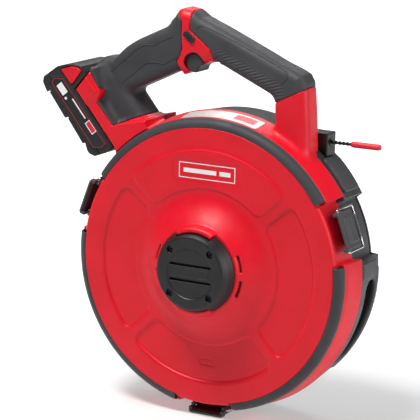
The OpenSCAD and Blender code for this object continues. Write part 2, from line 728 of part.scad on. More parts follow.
front_face();
hub_shell();
rim_wall();
latch_ears();
back_plate();
bumper_top();
bumper_left();
bumper_right();
label_plate();
hub_cap();
handle_front();
handle_rear();
grip_cover();
bar_cover();
trigger();
switch_body();
selector();
control_board();
terminal_block();
gear_case();
stator();
motor_plate();
bearings();
rotor();
fan();
ring_gear();
carrier();
planet_1();
planet_2();
planet_3();
lever_right();
lever_left();
lever_bottom();
bail_right();
bail_left();
bail_bottom();
latch_pins();
cartridge_shell();
cartridge_sides();
cartridge_keepers();
cartridge_cover();
exit_plate();
tape_guide();
guide_bush();
spindle();
spindle_clip();
reel_core();
reel_bush();
reel_flanges();
tape_coil();
leader_cable();
leader_tip();
tape_end();
pack_base();
pack_top();
pack_cells();
pack_board();
button_front();
button_rear();
screws();
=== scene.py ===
"""Looks of the powered fish tape reel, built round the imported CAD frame.

Shapes are drawn in millimetres in the drum's own axes: x to the right, z up, and the height h from the
rear face towards the front (row Y is -h). Organic and moulded shapes are distance fields, meshed by net().
"""
import json
import math

import bpy
import numpy as np
from mathutils import Matrix, Vector


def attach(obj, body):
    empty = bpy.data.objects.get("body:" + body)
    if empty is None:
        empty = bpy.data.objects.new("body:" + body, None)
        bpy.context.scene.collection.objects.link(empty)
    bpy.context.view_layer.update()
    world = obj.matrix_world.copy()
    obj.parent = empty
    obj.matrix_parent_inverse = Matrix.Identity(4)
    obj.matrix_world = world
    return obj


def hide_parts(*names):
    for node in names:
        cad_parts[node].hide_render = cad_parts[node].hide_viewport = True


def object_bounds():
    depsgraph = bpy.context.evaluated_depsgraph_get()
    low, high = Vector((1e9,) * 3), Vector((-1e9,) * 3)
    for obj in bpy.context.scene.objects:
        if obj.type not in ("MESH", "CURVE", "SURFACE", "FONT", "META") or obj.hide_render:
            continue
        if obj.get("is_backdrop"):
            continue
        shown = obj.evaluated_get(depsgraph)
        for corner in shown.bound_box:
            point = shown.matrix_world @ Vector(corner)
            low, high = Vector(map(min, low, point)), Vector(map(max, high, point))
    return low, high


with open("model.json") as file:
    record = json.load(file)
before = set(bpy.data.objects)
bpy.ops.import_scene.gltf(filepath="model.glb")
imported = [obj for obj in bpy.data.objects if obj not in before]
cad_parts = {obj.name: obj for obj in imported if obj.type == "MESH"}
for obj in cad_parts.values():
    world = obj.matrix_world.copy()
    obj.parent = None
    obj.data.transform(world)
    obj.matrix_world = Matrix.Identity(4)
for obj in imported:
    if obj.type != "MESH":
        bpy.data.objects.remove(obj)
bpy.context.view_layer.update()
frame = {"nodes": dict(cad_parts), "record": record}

COARSE = 1.0
# Heights of the parting plane and of the face, and the line that the leader runs along
SPLIT = 58
FACE = 104
LEADER_Z, LEADER_H = 146, 29
# Direction of each latch, in degrees round the drum
LATCHES = {"right": 20, "left": 160, "bottom": 270}


# ---- camera ----

def make_camera():
    """Long lens at the place and tilt that make the drum's edges fall where the photo has them."""
    cam = bpy.data.cameras.new("cam")
    cam.lens, cam.sensor_width = 176.59, 36
    cam.clip_start, cam.clip_end = 0.05, 60
    obj = bpy.data.objects.new("cam", cam)
    bpy.context.scene.collection.objects.link(obj)
    a, e, roll = (math.radians(v) for v in (28.32, 12.54, 1.32))
    back = Vector((math.sin(a) * math.cos(e), -math.cos(a) * math.cos(e), math.sin(e)))
    right = Vector((math.cos(a), math.sin(a), 0))
    up = back.cross(right)
    r = math.cos(roll) * right + math.sin(roll) * up
    u = math.cos(roll) * up - math.sin(roll) * right
    turn = Matrix((r, u, back)).transposed().to_4x4()
    obj.matrix_world = Matrix.Translation((1.0803, -2.0999, 0.5715)) @ turn
    bpy.context.scene.camera = obj


make_camera()


# ---- distance fields ----

def smin(a, b, k):
    """Lower of two distances, with the crease rounded over k."""
    t = np.clip(0.5 + 0.5 * (b - a) / k, 0, 1)
    return b + (a - b) * t - k * t * (1 - t)


def smax(a, b, k):
    return -smin(-a, -b, k)


def step01(v, a, b):
    """Smooth step from nought at a to one at b."""
    t = np.clip((v - a) / (b - a), 0, 1)
    return t * t * (3 - 2 * t)


def box(p, lo, hi, r=0.0):
    """Box between two corners with rounded edges."""
    lo, hi = np.array(lo, float), np.array(hi, float)
    q = np.abs(p - (lo + hi) / 2) - ((hi - lo) / 2 - r)
    return np.linalg.norm(np.maximum(q, 0), axis=1) + np.minimum(q.max(1), 0) - r


def rod(p, a, b, r, rim=0.0):
    """Cylinder between two points with rounded rims."""
    a, b = np.array(a, float), np.array(b, float)
    n = (b - a) / np.linalg.norm(b - a)
    along = (p - a) @ n
    away = np.linalg.norm(p - a - along[:, None] * n, axis=1)
    half = np.linalg.norm(b - a) / 2
    return rounded(away - r, np.abs(along - half) - half, rim)


def rounded(d0, d1, r):
    """Where both distances are negative, with the edge between them rounded."""
    a, b = d0 + r, d1 + r
    return np.minimum(np.maximum(a, b), 0) + np.hypot(np.maximum(a, 0), np.maximum(b, 0)) - r


def poly(x, y, pts):
    """Signed distance to a polygon in the plane."""
    d = np.full(x.shape, 1e9)
    inside = np.zeros(x.shape, bool)
    for (ax, ay), (bx, by) in zip(pts, pts[1:] + pts[:1]):
        ex, ey, wx, wy = bx - ax, by - ay, x - ax, y - ay
        t = np.clip((wx * ex + wy * ey) / (ex * ex + ey * ey), 0, 1)
        d = np.minimum(d, (wx - ex * t) ** 2 + (wy - ey * t) ** 2)
        if by != ay:
            crosses = (ay > y) != (by > y)
            inside ^= crosses & (x < (y - ay) * ex / ey + ax)
    return np.where(inside, -1.0, 1.0) * np.sqrt(d)


def slab(x, y, a, b, w):
    """Signed distance to a flat bar of width w from a to b, in the plane."""
    length = math.hypot(b[0] - a[0], b[1] - a[1])
    cx, cy = (b[0] - a[0]) / length, (b[1] - a[1]) / length
    u = (x - a[0]) * cx + (y - a[1]) * cy - length / 2
    v = (y - a[1]) * cx - (x - a[0]) * cy
    return rounded(np.abs(u) - length / 2, np.abs(v) - w / 2, 0)


def raised(d2, h, h0, h1, r):
    """Outline d2 drawn up from h0 to h1."""
    return rounded(d2, np.abs(h - (h0 + h1) / 2) - (h1 - h0) / 2, r)


def turned(v, degrees):
    """Points turned round the drum axis."""
    c, s = math.cos(math.radians(degrees)), math.sin(math.radians(degrees))
    return np.stack([v[:, 0] * c - v[:, 1] * s, v[:, 0] * s + v[:, 1] * c, v[:, 2]], 1)


# Direction of the battery's slide
FOOT = -50.5


CORNERS = [(i, j, k) for i in (0, 1) for j in (0, 1) for k in (0, 1)]
EDGES = [(a, b) for a in range(8) for b in range(a + 1, 8)
         if sum(abs(m - n) for m, n in zip(CORNERS[a], CORNERS[b])) == 1]


def net(field, lo, hi, step):
    """Meshes the zero surface of a distance field: a surface net, worked out only near the surface."""
    step = step * COARSE
    lo = np.array(lo, float)
    blocks = np.ceil((np.array(hi, float) - lo) / step / 8).astype(int) + 1
    grid = np.full(blocks * 8, 9.0, np.float32)
    spots = np.indices(blocks).reshape(3, -1).T * 8
    far = field(lo + (spots + 3.5) * step)
    local = np.indices((8, 8, 8)).reshape(3, -1).T
    for s in spots[far <= -11 * step]:
        grid[s[0]:s[0] + 8, s[1]:s[1] + 8, s[2]:s[2] + 8] = -9
    near = spots[np.abs(far) < 11 * step]
    for part in np.array_split(near, max(1, len(near) // 700)):
        cells = (part[:, None, :] + local[None]).reshape(-1, 3)
        grid[cells[:, 0], cells[:, 1], cells[:, 2]] = field(lo + cells * step)
    return surface(grid, lo, step)


def surface(grid, lo, step):
    """One point in each cell that the surface crosses, joined by a quad over each crossed edge."""
    full = grid < 0
    n = np.array(grid.shape) - 1
    count = sum(full[i:i + n[0], j:j + n[1], k:k + n[2]].astype(np.uint8) for i, j, k in CORNERS)
    active = (count > 0) & (count < 8)
    cells = np.argwhere(active)
    ids = np.full(n, -1, np.int32)
    ids[active] = np.arange(len(cells))
    value = np.stack([grid[cells[:, 0] + i, cells[:, 1] + j, cells[:, 2] + k] for i, j, k in CORNERS], 1)
    total, hits = np.zeros((len(cells), 3)), np.zeros(len(cells))
    for a, b in EDGES:
        m = (value[:, a] < 0) != (value[:, b] < 0)
        t = value[m, a] / (value[m, a] - value[m, b])
        ca, cb = np.array(CORNERS[a], float), np.array(CORNERS[b], float)
        total[m] += ca + t[:, None] * (cb - ca)
        hits[m] += 1
    verts = lo + (cells + total / hits[:, None]) * step
    quads = []
    for axis in range(3):
        one, two = (np.eye(3, dtype=int)[(axis + k) % 3] for k in (1, 2))
        here = np.take(full, range(full.shape[axis] - 1), axis)
        there = np.take(full, range(1, full.shape[axis]), axis)
        at = np.argwhere(here != there)
        at = at[((at > 0) | (np.arange(3) == axis)).all(1) & (at < n).all(1)]
        ring = [ids[tuple((at - o).T)] for o in (one + two, two, one * 0, one)]
        quad = np.stack(ring, 1)
        out = here[tuple(at.T)]
        quads += [quad[out], quad[~out][:, ::-1]]
    quads = np.concatenate(quads)
    return verts, quads[(quads >= 0).all(1)]


# ---- meshes ----

def to_row(v):
    """Millimetres in the drum's axes to metres in the frame's."""
    v = np.asarray(v, float)
    return np.stack([v[:, 0], -v[:, 2], v[:, 1]], 1) * 0.001


def add(name, shape, mat, body="base", nodes=(), phi=None, foot=False):
    """Adds a mesh piece from (points in mm, faces), riding on a body."""
    verts, faces = shape
    verts = np.asarray(verts, float)
    if foot:
        verts = turned(verts, FOOT)
    if phi is not None:
        verts = turned(verts, phi)
    mesh = bpy.data.meshes.new(name)
    mesh.from_pydata(to_row(verts).tolist(), [], [list(map(int, f)) for f in faces])
    mesh.polygons.foreach_set("use_smooth", [True] * len(mesh.polygons))
    mesh.materials.append(mat)
    obj = bpy.data.objects.new(name, mesh)
    bpy.context.scene.collection.objects.link(obj)
    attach(obj, body)
    if nodes:
        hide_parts(*nodes)
    return obj


def sharp(obj, angle=40):
    """Keeps edges steeper than the angle sharp in the shading."""
    bpy.context.view_layer.objects.active = obj
    obj.select_set(True)
    bpy.ops.object.shade_auto_smooth(angle=math.radians(angle))
    obj.select_set(False)
    return obj


def rectangle(x0, x1, y0, y1, h):
    return np.array([(x0, y0, h), (x1, y0, h), (x1, y1, h), (x0, y1, h)], float)


def quads_over(rows, cols, closed=True):
    """Quads over a grid of points, with the last column joined to the first if closed."""
    i, j = np.meshgrid(np.arange(rows - 1), np.arange(cols if closed else cols - 1), indexing="ij")
    i, j = i.ravel(), j.ravel()
    k = (j + 1) % cols
    return np.stack([i * cols + j, (i + 1) * cols + j, (i + 1) * cols + k, i * cols + k], 1)


def sheet_of(r, h, angles, closed=True):
    """Mesh over a grid of profile rows (r and h by row and angle) round the drum axis."""
    a = np.radians(angles)
    v = np.stack([r * np.cos(a), r * np.sin(a), h], 2).reshape(-1, 3)
    return v, quads_over(*r.shape, closed)


def sweep(path, radius):
    """Round rod of the radius along a path, with flat ends."""
    path = np.asarray(path, float)
    t = np.linspace(0, 2 * math.pi, 12, endpoint=False)
    section = radius * np.stack([np.cos(t), np.sin(t)], 1)
    tangent = np.gradient(path, axis=0)
    tangent /= np.linalg.norm(tangent, axis=1)[:, None]
    side = np.cross(tangent[0], [0.13, 0.31, 0.94])
    verts = []
    for p, t in zip(path, tangent):
        side = side - t * (side @ t)
        side /= np.linalg.norm(side)
        verts.append(p + section[:, :1] * side + section[:, 1:] * np.cross(t, side))
    verts = np.concatenate(verts)
    m, n = len(section), len(path)
    faces = quads_over(n, m).tolist()
    return verts, faces + [list(range(m)), list(range((n - 1) * m, n * m))[::-1]]


def bent(points, radius):
    """Path through the points, with each corner rounded to the radius."""
    pts = [np.array(p, float) for p in points]
    out = [pts[0]]
    for a, b, c in zip(pts, pts[1:], pts[2:]):
        u, v = (a - b) / np.linalg.norm(a - b), (c - b) / np.linalg.norm(c - b)
        cut = radius * math.tan((math.pi - math.acos(np.clip(u @ v, -1, 1))) / 2)
        for t in np.linspace(0, 1, 6):
            out.append((1 - t) ** 2 * (b + u * cut) + 2 * t * (1 - t) * b + t * t * (b + v * cut))
    return np.array(out + [pts[-1]])


# ---- materials ----

def start(name):
    """New material with its node tree and shader."""
    mat = bpy.data.materials.new(name)
    mat.use_nodes = True
    tree = mat.node_tree
    return mat, tree, tree.nodes["Principled BSDF"]


def node(tree, kind, inputs=None, **settings):
    """Shader node whose inputs are values or other nodes' outputs."""
    n = tree.nodes.new("ShaderNode" + kind)
    for k, v in settings.items():
        setattr(n, k, v)
    for k, v in (inputs or {}).items():
        if isinstance(v, bpy.types.NodeSocket):
            tree.links.new(v, n.inputs[k])
        else:
            n.inputs[k].default_value = v
    return n


def calc(tree, operation, *values):
    return node(tree, "Math", dict(enumerate(values)), operation=operation).outputs[0]


def where(tree):
    return node(tree, "TexCoord").outputs["Object"]


def spread(tree, value, lo, hi, a=0.0, b=1.0):
    """Takes the range lo to hi onto a to b."""
    return node(tree, "MapRange", {0: value, 1: lo, 2: hi, 3: a, 4: b}).outputs[0]


def noise(tree, scale, detail=3.0, at=None, rough=0.5):
    return node(tree, "TexNoise", {"Vector": at or where(tree), "Scale": scale, "Detail": detail,
                                   "Roughness": rough}).outputs[0]


def rgb(c):
    """Linear colour from screen values of 0 to 255."""
    return tuple(((v / 255) / 12.92 if v <= 10 else (((v / 255) + 0.055) / 1.055) ** 2.4) for v in c) + (1,)


def stretched(tree, at, scale):
    return node(tree, "Mapping", {"Vector": at, "Scale": scale}).outputs[0]


def mix(tree, share, a, b):
    n = node(tree, "Mix", {0: share}, data_type="RGBA")
    for k, v in ((6, a), (7, b)):
        if isinstance(v, bpy.types.NodeSocket):
            tree.links.new(v, n.inputs[k])
        else:
            n.inputs[k].default_value = v
    return n.outputs[2]


def moulded(name, dark, light, rough, grain=0.00004, scale=1900, wear=0.25, edge=None, sheen=0.0,
            shine=0.45):
    """Moulded plastic or rubber: fine texture, uneven gloss, lighter rubbed edges."""
    mat, tree, out = start(name)
    at = where(tree)
    cloud = noise(tree, 22, 4, at)
    tone = mix(tree, spread(tree, cloud, 0.35, 0.65), rgb(dark), rgb(light))
    rim = node(tree, "NewGeometry").outputs["Pointiness"]
    scuff = noise(tree, 160, 5, at, 0.7)
    rub = calc(tree, "MULTIPLY", spread(tree, rim, 0.52, 0.60), spread(tree, scuff, 0.38, 0.62))
    rub = calc(tree, "MULTIPLY", rub, wear)
    tree.links.new(mix(tree, rub, tone, rgb(edge or light)), out.inputs["Base Color"])
    tree.links.new(spread(tree, noise(tree, 70, 4, at), 0.3, 0.7, rough - 0.06, rough + 0.07),
                   out.inputs["Roughness"])
    out.inputs["Specular IOR Level"].default_value = shine
    if sheen:
        out.inputs["Sheen Weight"].default_value = sheen
        out.inputs["Sheen Roughness"].default_value = 0.4
    bump = node(tree, "Bump", {"Height": noise(tree, scale, 2, at), "Strength": 0.5, "Distance": grain})
    tree.links.new(bump.outputs[0], out.inputs["Normal"])
    return mat


def metal(name, tone, rough, along=(1, 1, 40), scale=300):
    """Brushed or drawn metal: streaks along one axis, small stains."""
    mat, tree, out = start(name)
    at = where(tree)
    brushed = noise(tree, scale, 4, stretched(tree, at, along), 0.6)
    stain = noise(tree, 45, 5, at)
    tint = mix(tree, spread(tree, stain, 0.45, 0.75, 0, 0.5), rgb(tone), rgb([v * 0.72 for v in tone]))
    tree.links.new(tint, out.inputs["Base Color"])
    tree.links.new(spread(tree, brushed, 0.3, 0.7, rough - 0.08, rough + 0.1), out.inputs["Roughness"])
    out.inputs["Metallic"].default_value = 1
    bump = node(tree, "Bump", {"Height": brushed, "Strength": 0.35, "Distance": 0.00003})
    tree.links.new(bump.outputs[0], out.inputs["Normal"])
    return mat


def ribbed(name, dark, light, rough):
    """Soft grip cover: stipple all over and slanting ribs on the lower half of the bar."""
    mat = moulded(name, dark, light, rough, grain=0.00007, scale=1300, wear=0.3, edge=(96, 97, 100))
    tree, out = mat.node_tree, mat.node_tree.nodes["Principled BSDF"]
    at = where(tree)
    xyz = node(tree, "SeparateXYZ", {0: at}).outputs
    # Distance below the bar's middle line
    low = calc(tree, "MULTIPLY_ADD", xyz[0], -0.415, 0.2455)
    below = calc(tree, "SUBTRACT", low, xyz[2])
    slant = calc(tree, "ADD", calc(tree, "MULTIPLY", xyz[0], -0.3), xyz[2])
    wave = calc(tree, "SINE", calc(tree, "MULTIPLY", slant, 2 * math.pi / 0.0038))
    zone = calc(tree, "MULTIPLY", spread(tree, below, 0.0, 0.003), spread(tree, xyz[0], -0.012, 0.0))
    zone = calc(tree, "MULTIPLY", zone, spread(tree, xyz[0], 0.082, 0.074))
    rib = calc(tree, "MULTIPLY", wave, zone)
    old = out.inputs["Normal"].links[0].from_socket
    bump = node(tree, "Bump", {"Height": rib, "Strength": 0.8, "Distance": 0.0005, "Normal": old})
    tree.links.new(bump.outputs[0], out.inputs["Normal"])
    return mat


def window(tree, *ranges):
    """One inside the ranges of the given values and nought outside them."""
    total = 1.0
    for value, lo, hi in ranges:
        for edge, way in ((lo, "GREATER_THAN"), (hi, "LESS_THAN")):
            total = calc(tree, "MULTIPLY", total, calc(tree, way, value, edge))
    return total


def foil():
    """Silver foil with faint bars, and a white panel with a red field at one end."""
    mat, tree, out = start("label_foil")
    at = where(tree)
    streak = noise(tree, 500, 3, stretched(tree, at, (6, 1, 1)))
    tone = mix(tree, spread(tree, streak, 0.3, 0.7), rgb((196, 192, 190)), rgb((222, 219, 216)))
    x, y = node(tree, "SeparateXYZ", {0: at}).outputs[:2]
    bars = calc(tree, "SINE", calc(tree, "MULTIPLY", y, 2 * math.pi / 0.004))
    broken = spread(tree, noise(tree, 260, 1, stretched(tree, at, (1, 0.02, 0.02))), 0.47, 0.52)
    ink = calc(tree, "MULTIPLY", calc(tree, "MULTIPLY", spread(tree, bars, 0.55, 0.7), broken), 0.5)
    tone = mix(tree, ink, tone, rgb((176, 158, 156)))
    tone = mix(tree, window(tree, (x, 0.019, 0.0475), (y, -0.0865, -0.0685)), tone, rgb((236, 234, 234)))
    tone = mix(tree, window(tree, (x, 0.0202, 0.0463), (y, -0.0853, -0.0697)), tone, rgb((186, 40, 50)))
    tree.links.new(tone, out.inputs["Base Color"])
    out.inputs["Metallic"].default_value = 0.35
    out.inputs["Roughness"].default_value = 0.36
    return mat


RED = moulded("red_plastic", (214, 8, 32), (222, 11, 37), 0.42, grain=0.00003, scale=2100, wear=0.3,
              edge=(244, 62, 74), shine=0.35)
GREY = moulded("grey_plastic", (60, 61, 64), (68, 69, 72), 0.52, grain=0.00005, scale=1700, wear=0.4,
               edge=(112, 113, 116))
BLACK = moulded("black_plastic", (24, 24, 25), (32, 32, 34), 0.45, grain=0.00005, scale=1500, wear=0.35,
                edge=(74, 75, 78))
CAP = moulded("cap_plastic", (20, 20, 21), (26, 26, 27), 0.45, grain=0.00004, scale=1700, wear=0.4,
              edge=(92, 93, 96))
SOFT = moulded("soft_rubber", (46, 46, 49), (55, 55, 58), 0.6, grain=0.00007, scale=1300, wear=0.3,
               edge=(98, 99, 102), sheen=0.15)
GRIP = ribbed("grip_rubber", (52, 52, 55), (60, 60, 63), 0.58)
BRIGHT = metal("bright_steel", (214, 216, 219), 0.2, (1, 40, 1), 160)
PLAIN = metal("plain_steel", (150, 151, 154), 0.36)
DARK_STEEL = metal("black_steel", (58, 58, 61), 0.4, (30, 30, 30), 60)
TAPE = metal("tape_steel", (176, 178, 184), 0.3, (1, 60, 1), 260)
COPPER = metal("copper_winding", (196, 112, 66), 0.34, (1, 1, 50), 420)
BRONZE = metal("bronze", (176, 138, 74), 0.4, (20, 20, 20), 120)
CABLE = moulded("cable_jacket", (20, 20, 22), (30, 30, 32), 0.4, wear=0.2, edge=(120, 120, 124))
BOARD = moulded("board_green", (16, 58, 34), (22, 74, 44), 0.35, grain=0.00008, scale=700)
CELL = moulded("cell_sleeve", (34, 66, 118), (42, 78, 134), 0.3)
FOIL = foil()
# Near-black for the sheets behind the vents: painted shade where the housing's inside lies in shadow.
VENT_SHADE = moulded("painted_vent_shade", (7, 7, 8), (12, 12, 13), 0.8, wear=0.05)
WHITE = moulded("white_print", (232, 232, 232), (242, 242, 242), 0.45, grain=0.00001, wear=0.0)
TIP_RED = moulded("red_rubber", (206, 30, 50), (218, 40, 58), 0.48, grain=0.00006, scale=1500, wear=0.2,
                   edge=(238, 92, 100))
SLOTS = {"red_plastic": RED, "grey_plastic": GREY, "black_plastic": BLACK, "rubber": SOFT,
         "bright_steel": BRIGHT, "plain_steel": PLAIN, "tape_steel": TAPE, "label_foil": FOIL,
         "copper_winding": COPPER, "bronze": BRONZE, "cable_jacket": CABLE, "board_green": BOARD,
         "cell_sleeve": CELL}


def finish_nodes():
    """Gives each CAD node that stays shown its procedural finish."""
    for part in frame["record"]["subparts"]:
        mat = SLOTS.get(part["material_slot"], GREY)
        if part["node"] in ("screws", "guide_bush"):
            mat = DARK_STEEL
        mesh = frame["nodes"][part["node"]].data
        mesh.materials.clear()
        mesh.materials.append(mat)


# ---- red base ----

# Directions of the ribs between the face's pads, and where each vent slot beside the hub cap starts
RIBS = (41, 139, 224, 313)
VENTS = (4, 153, 184, 333)


def rim_at(h):
    """Radius of the tapered rim."""
    return 175 - (h - SPLIT) * 4.8 / 35.4


def pad_depth(r, a):
    """Height of the face's pads: one raised at the top, three let in, with short sloped borders."""
    x, z = r * np.cos(np.radians(a)), r * np.sin(np.radians(a))
    out = np.zeros(r.shape)
    for k, start_at in enumerate(np.radians(RIBS)):
        end_at = math.radians(RIBS[(k + 1) % 4])
        from_start = z * math.cos(start_at) - x * math.sin(start_at) - 5.5
        from_end = x * math.sin(end_at) - z * math.cos(end_at) - 5.5
        d = smax(smax(-from_start, -from_end, 11), smax(91 - r, r - 135, 2), 11)
        out += step01(-d, -0.9, 0.9) * (1.2 if k == 0 else -2.2)
    # Plain panel in the top pad and the small plate in the lower one
    panel = rounded(np.abs(x) - 44, np.abs(z - 110) - 12, 5)
    out -= step01(-panel, -0.7, 0.7) * 0.6
    small = rounded(np.abs(x - 4) - 9, np.abs(z + 112) - 4.2, 1.6)
    out -= (step01(-small, -0.5, 0.5) - 0.7 * step01(-small - 1.6, -0.5, 0.5)) * 0.5
    return out


def base_shell():
    """Face, cone, hub collar and rim as one turned skin, with the pads, vents and latch pockets."""
    edges = (11.75, 11.95, 12.05, 12.25)
    fine = [[p + side * e for side in (-1, 1) for e in edges] for p in LATCHES.values()]
    angles = np.unique(np.concatenate([np.linspace(0, 360, 720, endpoint=False)] + fine))
    lip = sum(step01(angles, a - 0.3, a + 1.4) * step01(angles, b + 0.3, b - 1.4)
              for a, b in ((62, 118), (242, 298)))
    pocket = sum(step01(np.abs(angles - p), 12.06, 11.94) for p in LATCHES.values())
    # Profiles of radius and height: the hub's collar low and raised, the face, the rim plain and cut back
    inner0 = [(44.6, 119), (44.6, 123), (45.2, 123.8), (47, 124), (50.6, 124), (51.8, 123.7), (52.6, 123.1)]
    inner1 = [(44.6, 119), (44.6, 131), (45.4, 132.5), (47, 133), (49.6, 132.2), (51, 130.4), (52.4, 125)]
    face = [(53.4, 122.4), (54.4, 121.7), (55.4, 121), (57.5, 119.4), (60, 117.4), (63, 115), (66, 112.8),
            (69, 110.7), (72, 108.8), (75, 107.2), (78, 105.9), (81, 104.9), (84, 104.3), (87, 104.06),
            (89, FACE)]
    face += [(r, FACE) for r in list(np.arange(90, 137, 1.0)) + [140, 145, 150, 155, 158]]
    rim0 = [(159.3, FACE), (159.8, 103.8), (160, 103.3), (160.1, 98), (164, 93.5), (167, 93.4), (169.4, 93.4),
            (170.1, 93.1), (170.5, 92.3), (171.4, 84.5), (173.2, 71.3), (174.8, 59.4), (175, 58.5),
            (174.6, SPLIT), (171, SPLIT)]
    rim1 = [(159.3, FACE), (159.8, 103.9), (160.4, 103.5), (161.6, 102.2), (162.6, 100.9), (163, 100),
            (163.1, 97), (163.2, 94), (163.3, 92.3), (163.4, 84.5), (163.4, 71.3), (163.4, 62), (163.4, 60),
            (163.4, 58.6), (163.4, SPLIT)]

    def between(share, profile0, profile1):
        """Grid of radius and height: profile0 where the share is nought, profile1 where it is one."""
        p0, p1 = np.array(profile0)[:, :, None], np.array(profile1)[:, :, None]
        return (1 - share) * p0 + share * p1
    parts = [between(lip, inner0, inner1), between(0 * angles, face, face), between(pocket, rim0, rim1)]
    r, h = np.concatenate(parts).transpose(1, 0, 2)
    on_face = (r > 88) & (r < 158.5)
    h = h + np.where(on_face, pad_depth(r, np.broadcast_to(angles, r.shape)), 0)
    slot = sum(step01(angles, s, s + 1) * step01(angles, s + 22, s + 21) for s in VENTS)
    band = step01(r, 52.3, 52.9) * step01(r, 55.6, 55.0)
    h = h - slot * band * 6
    add("base_shell", sheet_of(r, h, angles), RED, nodes=["front_face", "hub_shell", "rim_wall"])


def painted_vent_sheets():
    """Thin black sheets behind the vent slots: painted shade for the shadowed inside of the housing."""
    for k, s in enumerate(VENTS):
        arc = np.linspace(s + 0.6, s + 21.4, 24)
        r = np.array([52.7, 55.2])[:, None] + 0 * arc
        h = np.array([118.6, 117.4])[:, None] + 0 * arc
        add(f"vent_shade_sheet_{k}", sheet_of(r, h, arc, closed=False), VENT_SHADE)


def pocket_walls():
    """Ears that carry the latch levers, in each latch pocket."""
    def ear(p, y):
        d = box(p, (160, y - 2, 60.5), (169.5, y + 2, 67.5), 0.6)
        return smin(d, rod(p, (169.5, y - 2, 64), (169.5, y + 2, 64), 3.5, 0.4), 1)

    def pair(p):
        return np.minimum(ear(p, -15), ear(p, 15))
    shape = net(pair, (158, -19, 58.5), (175, 19, 69.5), 0.7)
    for name, phi in LATCHES.items():
        add(f"ears_{name}", shape, RED, nodes=["latch_ears"], phi=phi)


def bumpers():
    """Rubber strips round the face edge, with a rounded outside and soft ends."""
    section = np.array([(160.15, 98.1), (160.15, 103.3), (160.5, 103.9), (161.2, 104.05), (162.5, 103.9),
                        (164.4, 103.3), (166.4, 102.2), (168.2, 100.6), (169.4, 98.8), (170.1, 96.8),
                        (170.45, 94.6), (170.4, 93.6), (169.8, 93.45), (164.1, 93.45)])
    outward = section - (164.5, 98.5)
    outward /= np.linalg.norm(outward, axis=1)[:, None]
    edge = np.array([0, 0.06, 0.16, 0.34, 0.6, 1.0])
    for name, (a, b) in {"top": (33, 147.5), "left": (173, 257), "right": (283, 367)}.items():
        angles = np.concatenate([a + edge, np.arange(a + 2, b - 1.9, 1.0), b - edge[::-1]])
        inset = 1 - np.minimum(1, np.minimum(angles - a, b - angles) / 0.6)
        inset = 1.1 * (1 - np.sqrt(np.maximum(0, 1 - inset ** 2)))
        r = section[:, :1] - outward[:, :1] * inset
        h = section[:, 1:] - outward[:, 1:] * inset
        r, h = np.vstack([r, r[:1]]), np.vstack([h, h[:1]])
        verts, faces = sheet_of(r, h, angles, closed=False)
        m, n = r.shape
        ends = [[i * n for i in range(m - 1)], [i * n + n - 1 for i in range(m - 1)][::-1]]
        obj = add(f"bumper_strip_{name}", (verts, faces.tolist() + ends), SOFT, nodes=[f"bumper_{name}"])
        sharp(obj, 50)


def hub():
    """Hub cap: turned outline with notches, centre disc, two level grooves and four screw wells."""
    outline = [(0, 123), (48.9, 124.2), (49.4, 126.2), (46.1, 134), (43.6, 138), (42, 140.3), (40.5, 141),
               (30.2, 141), (29.2, 139.6), (0, 139.6)]

    def cap(p):
        r = np.hypot(p[:, 0], p[:, 1])
        d = poly(r, p[:, 2], outline)
        a = np.degrees(np.arctan2(p[:, 1], p[:, 0]))
        for mid in (90, -90):
            notch = np.maximum((np.abs(a - mid) - 28.7) * 0.8, 44.3 - r)
            d = smax(d, -notch, 0.6)
        for z in (-9, 9):
            d = smax(d, -box(p, (-26, z - 1.6, 134.6), (26, z + 1.6, 150), 0.4), 0.4)
        for x in (-25.2, 25.2):
            for z in (-25.2, 25.2):
                d = smax(d, -rod(p, (x, z, 135), (x, z, 150), 4.3), 0.7)
        return d
    add("hub_cover", net(cap, (-51, -51, 122), (51, 51, 143), 0.55), CAP, nodes=["hub_cap"])

    def frame_line(p):
        return rounded(np.abs(rounded(np.abs(p[:, 0]) - 22, np.abs(p[:, 1]) - 4.6, 2)) - 0.35,
                       np.abs(p[:, 2] - 139.6) - 0.35, 0.1)
    add("hub_border", net(frame_line, (-24, -7, 138.8), (24, 7, 140.4), 0.3), CAP)


def badge():
    """Plain printed badge in the top pad: a frame and two bars."""
    bars = [(-36, 36, 118, 119), (-36, 36, 101, 102), (-36, -35, 102, 118), (35, 36, 102, 118),
            (-30, 12, 107.5, 112.5), (16, 30, 107.5, 112.5)]
    verts = np.concatenate([rectangle(*bar, FACE + 0.66) for bar in bars])
    add("badge_print", (verts, np.arange(len(verts)).reshape(-1, 4)), WHITE)


def rim_label():
    """Foil plate bent round the top of the rim."""
    def plate(p):
        r = np.hypot(p[:, 0], p[:, 1])
        a = np.degrees(np.arctan2(p[:, 1], p[:, 0]))
        side = np.abs(a - 88.5) * 3.02 - 49.5
        return raised(rounded(side, np.abs(p[:, 2] - 78) - 11.8, 2), r - rim_at(p[:, 2]), -0.5, 0.6, 0.25)
    add("rim_label", net(plate, (-56, 160, 64), (58, 177, 92), 0.6), FOIL, nodes=["label_plate"])


# ---- handle and foot ----

# Outlines seen from the front. The foot's are drawn along and across the battery's slide.
OUTLINE = [(-126, 95), (-126, 119.6), (-177.5, 182), (-176.4, 191.9), (-162.4, 205.7), (-164.4, 210.5),
           (-165, 217.6), (-158.2, 223.4), (-150.5, 224.3), (-144, 223), (-129, 237), (-111, 251),
           (-90, 261.5), (-73, 269.5), (-65, 277), (-60, 285), (-53, 288), (-40, 286), (-29, 278.5),
           (-3, 270), (49, 249), (99, 224.5), (104, 216), (113, 155), (113, 95)]
FINGER_CUT = [(-45, 190), (-45, 213.2), (-19, 229), (-7.5, 229), (-7.5, 190)]
FOOT_OUTLINE = [(-259, -21.3), (-263.2, 1), (-264, 6.5), (-267.6, 11), (-264, 13), (-237, 4.5), (-230, -5),
                (-198, -5), (-178, 34), (-160, 20), (-150, -14), (-172, -21.3)]
FOOT_BUMP = [(-257.8, -20.6), (-261.6, -0.6), (-240, 0), (-234, -20.6)]
